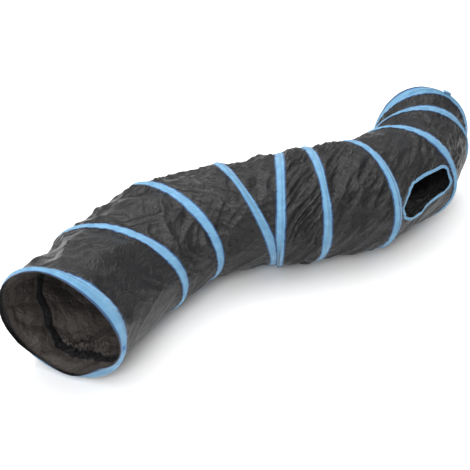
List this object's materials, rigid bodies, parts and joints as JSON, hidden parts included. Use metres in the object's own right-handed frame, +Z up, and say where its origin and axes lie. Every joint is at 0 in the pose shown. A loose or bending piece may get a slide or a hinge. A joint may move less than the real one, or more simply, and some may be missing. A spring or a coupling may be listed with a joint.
{
  "type": "pop-up pet tunnel",
  "caption": "Collapsible S-shaped pet tunnel of black taffeta panels on blue taped spring hoops, with one bound peephole and a small tie loop.",
  "frame": {"origin": "on the floor, under the middle of the object's box", "axes": "+Z up from the floor, +X along the tunnel's length from the near mouth to the far mouth, +Y to the left of that"},
  "size_m": [1.1168, 0.4342, 0.2738],
  "materials": {
    "black_taffeta": "coated polyester taffeta with a soft sheen",
    "blue_tape": "light blue woven polyester tape, satin",
    "spring_steel": "hardened spring wire, satin",
    "crimped_brass": "crimped brass sleeve"
  },
  "bodies": {
    "hoop_01": {"wire_hoop_01": "spring_steel", "ferrule_01": "crimped_brass", "tape_01": "blue_tape", "panel_01": "black_taffeta", "near_mouth_hem": "black_taffeta"},
    "hoop_02": {"wire_hoop_02": "spring_steel", "ferrule_02": "crimped_brass", "tape_02": "blue_tape", "panel_02": "black_taffeta"},
    "hoop_03": {"wire_hoop_03": "spring_steel", "ferrule_03": "crimped_brass", "tape_03": "blue_tape", "panel_03": "black_taffeta"},
    "hoop_04": {"wire_hoop_04": "spring_steel", "ferrule_04": "crimped_brass", "tape_04": "blue_tape", "panel_04": "black_taffeta"},
    "hoop_05": {"wire_hoop_05": "spring_steel", "ferrule_05": "crimped_brass", "tape_05": "blue_tape", "panel_05": "black_taffeta"},
    "hoop_06": {"wire_hoop_06": "spring_steel", "ferrule_06": "crimped_brass", "tape_06": "blue_tape", "panel_06": "black_taffeta"},
    "hoop_07": {"wire_hoop_07": "spring_steel", "ferrule_07": "crimped_brass", "tape_07": "blue_tape", "panel_07": "black_taffeta", "peephole_binding": "blue_tape"},
    "hoop_08": {"wire_hoop_08": "spring_steel", "ferrule_08": "crimped_brass", "tape_08": "blue_tape", "panel_08": "black_taffeta"},
    "hoop_09": {"wire_hoop_09": "spring_steel", "ferrule_09": "crimped_brass", "tape_09": "blue_tape", "panel_09": "black_taffeta"},
    "hoop_10": {"wire_hoop_10": "spring_steel", "ferrule_10": "crimped_brass", "tape_10": "blue_tape", "far_mouth_hem": "black_taffeta", "tie_loop": "blue_tape"}
  },
  "joints": [
    {"name": "close_panel_01", "type": "slide", "parent": "hoop_01", "child": "hoop_02", "axis": [-0.8939, -0.4483, 0], "range_m": [0, 0.17772], "deforming": ["panel_01", "tape_01"]},
    {"name": "close_panel_02", "type": "hinge", "parent": "hoop_02", "child": "hoop_03", "pos_m": [-0.16751, -0.30305, 0.1], "axis": [0, 0, 1], "range_deg": [0, 22], "deforming": ["panel_02", "tape_02"]},
    {"name": "close_panel_03", "type": "hinge", "parent": "hoop_03", "child": "hoop_04", "pos_m": [-0.25272, -0.23403, 0.1], "axis": [0, 0, 1], "range_deg": [0, 21.5], "deforming": ["panel_03", "tape_03"]},
    {"name": "close_panel_04", "type": "hinge", "parent": "hoop_04", "child": "hoop_05", "pos_m": [-0.01776, -0.06196, 0.1], "axis": [0, 0, 1], "range_deg": [0, 28.5], "deforming": ["panel_04", "tape_04"]},
    {"name": "close_panel_05", "type": "hinge", "parent": "hoop_05", "child": "hoop_06", "pos_m": [0.21313, 0.25523, 0.1], "axis": [0, 0, -1], "range_deg": [0, 12], "deforming": ["panel_05", "tape_05"]},
    {"name": "close_panel_06", "type": "hinge", "parent": "hoop_06", "child": "hoop_07", "pos_m": [0.28813, 0.2021, 0.1], "axis": [0, 0, -1], "range_deg": [0, 20.5], "deforming": ["panel_06", "tape_06"]},
    {"name": "close_panel_07", "type": "hinge", "parent": "hoop_07", "child": "hoop_08", "pos_m": [0.27956, 0.13894, 0.1], "axis": [0, 0, -1], "range_deg": [0, 30.5], "deforming": ["panel_07", "peephole_binding", "tape_07"]},
    {"name": "close_panel_08", "type": "hinge", "parent": "hoop_08", "child": "hoop_09", "pos_m": [0.32763, 0.09599, 0.1], "axis": [0, 0, -1], "range_deg": [0, 26], "deforming": ["panel_08", "tape_08"]},
    {"name": "close_panel_09", "type": "slide", "parent": "hoop_09", "child": "hoop_10", "axis": [-0.8849, -0.4658, 0], "range_m": [0, 0.04179], "deforming": ["panel_09", "tape_09", "tape_10"]}
  ]
}
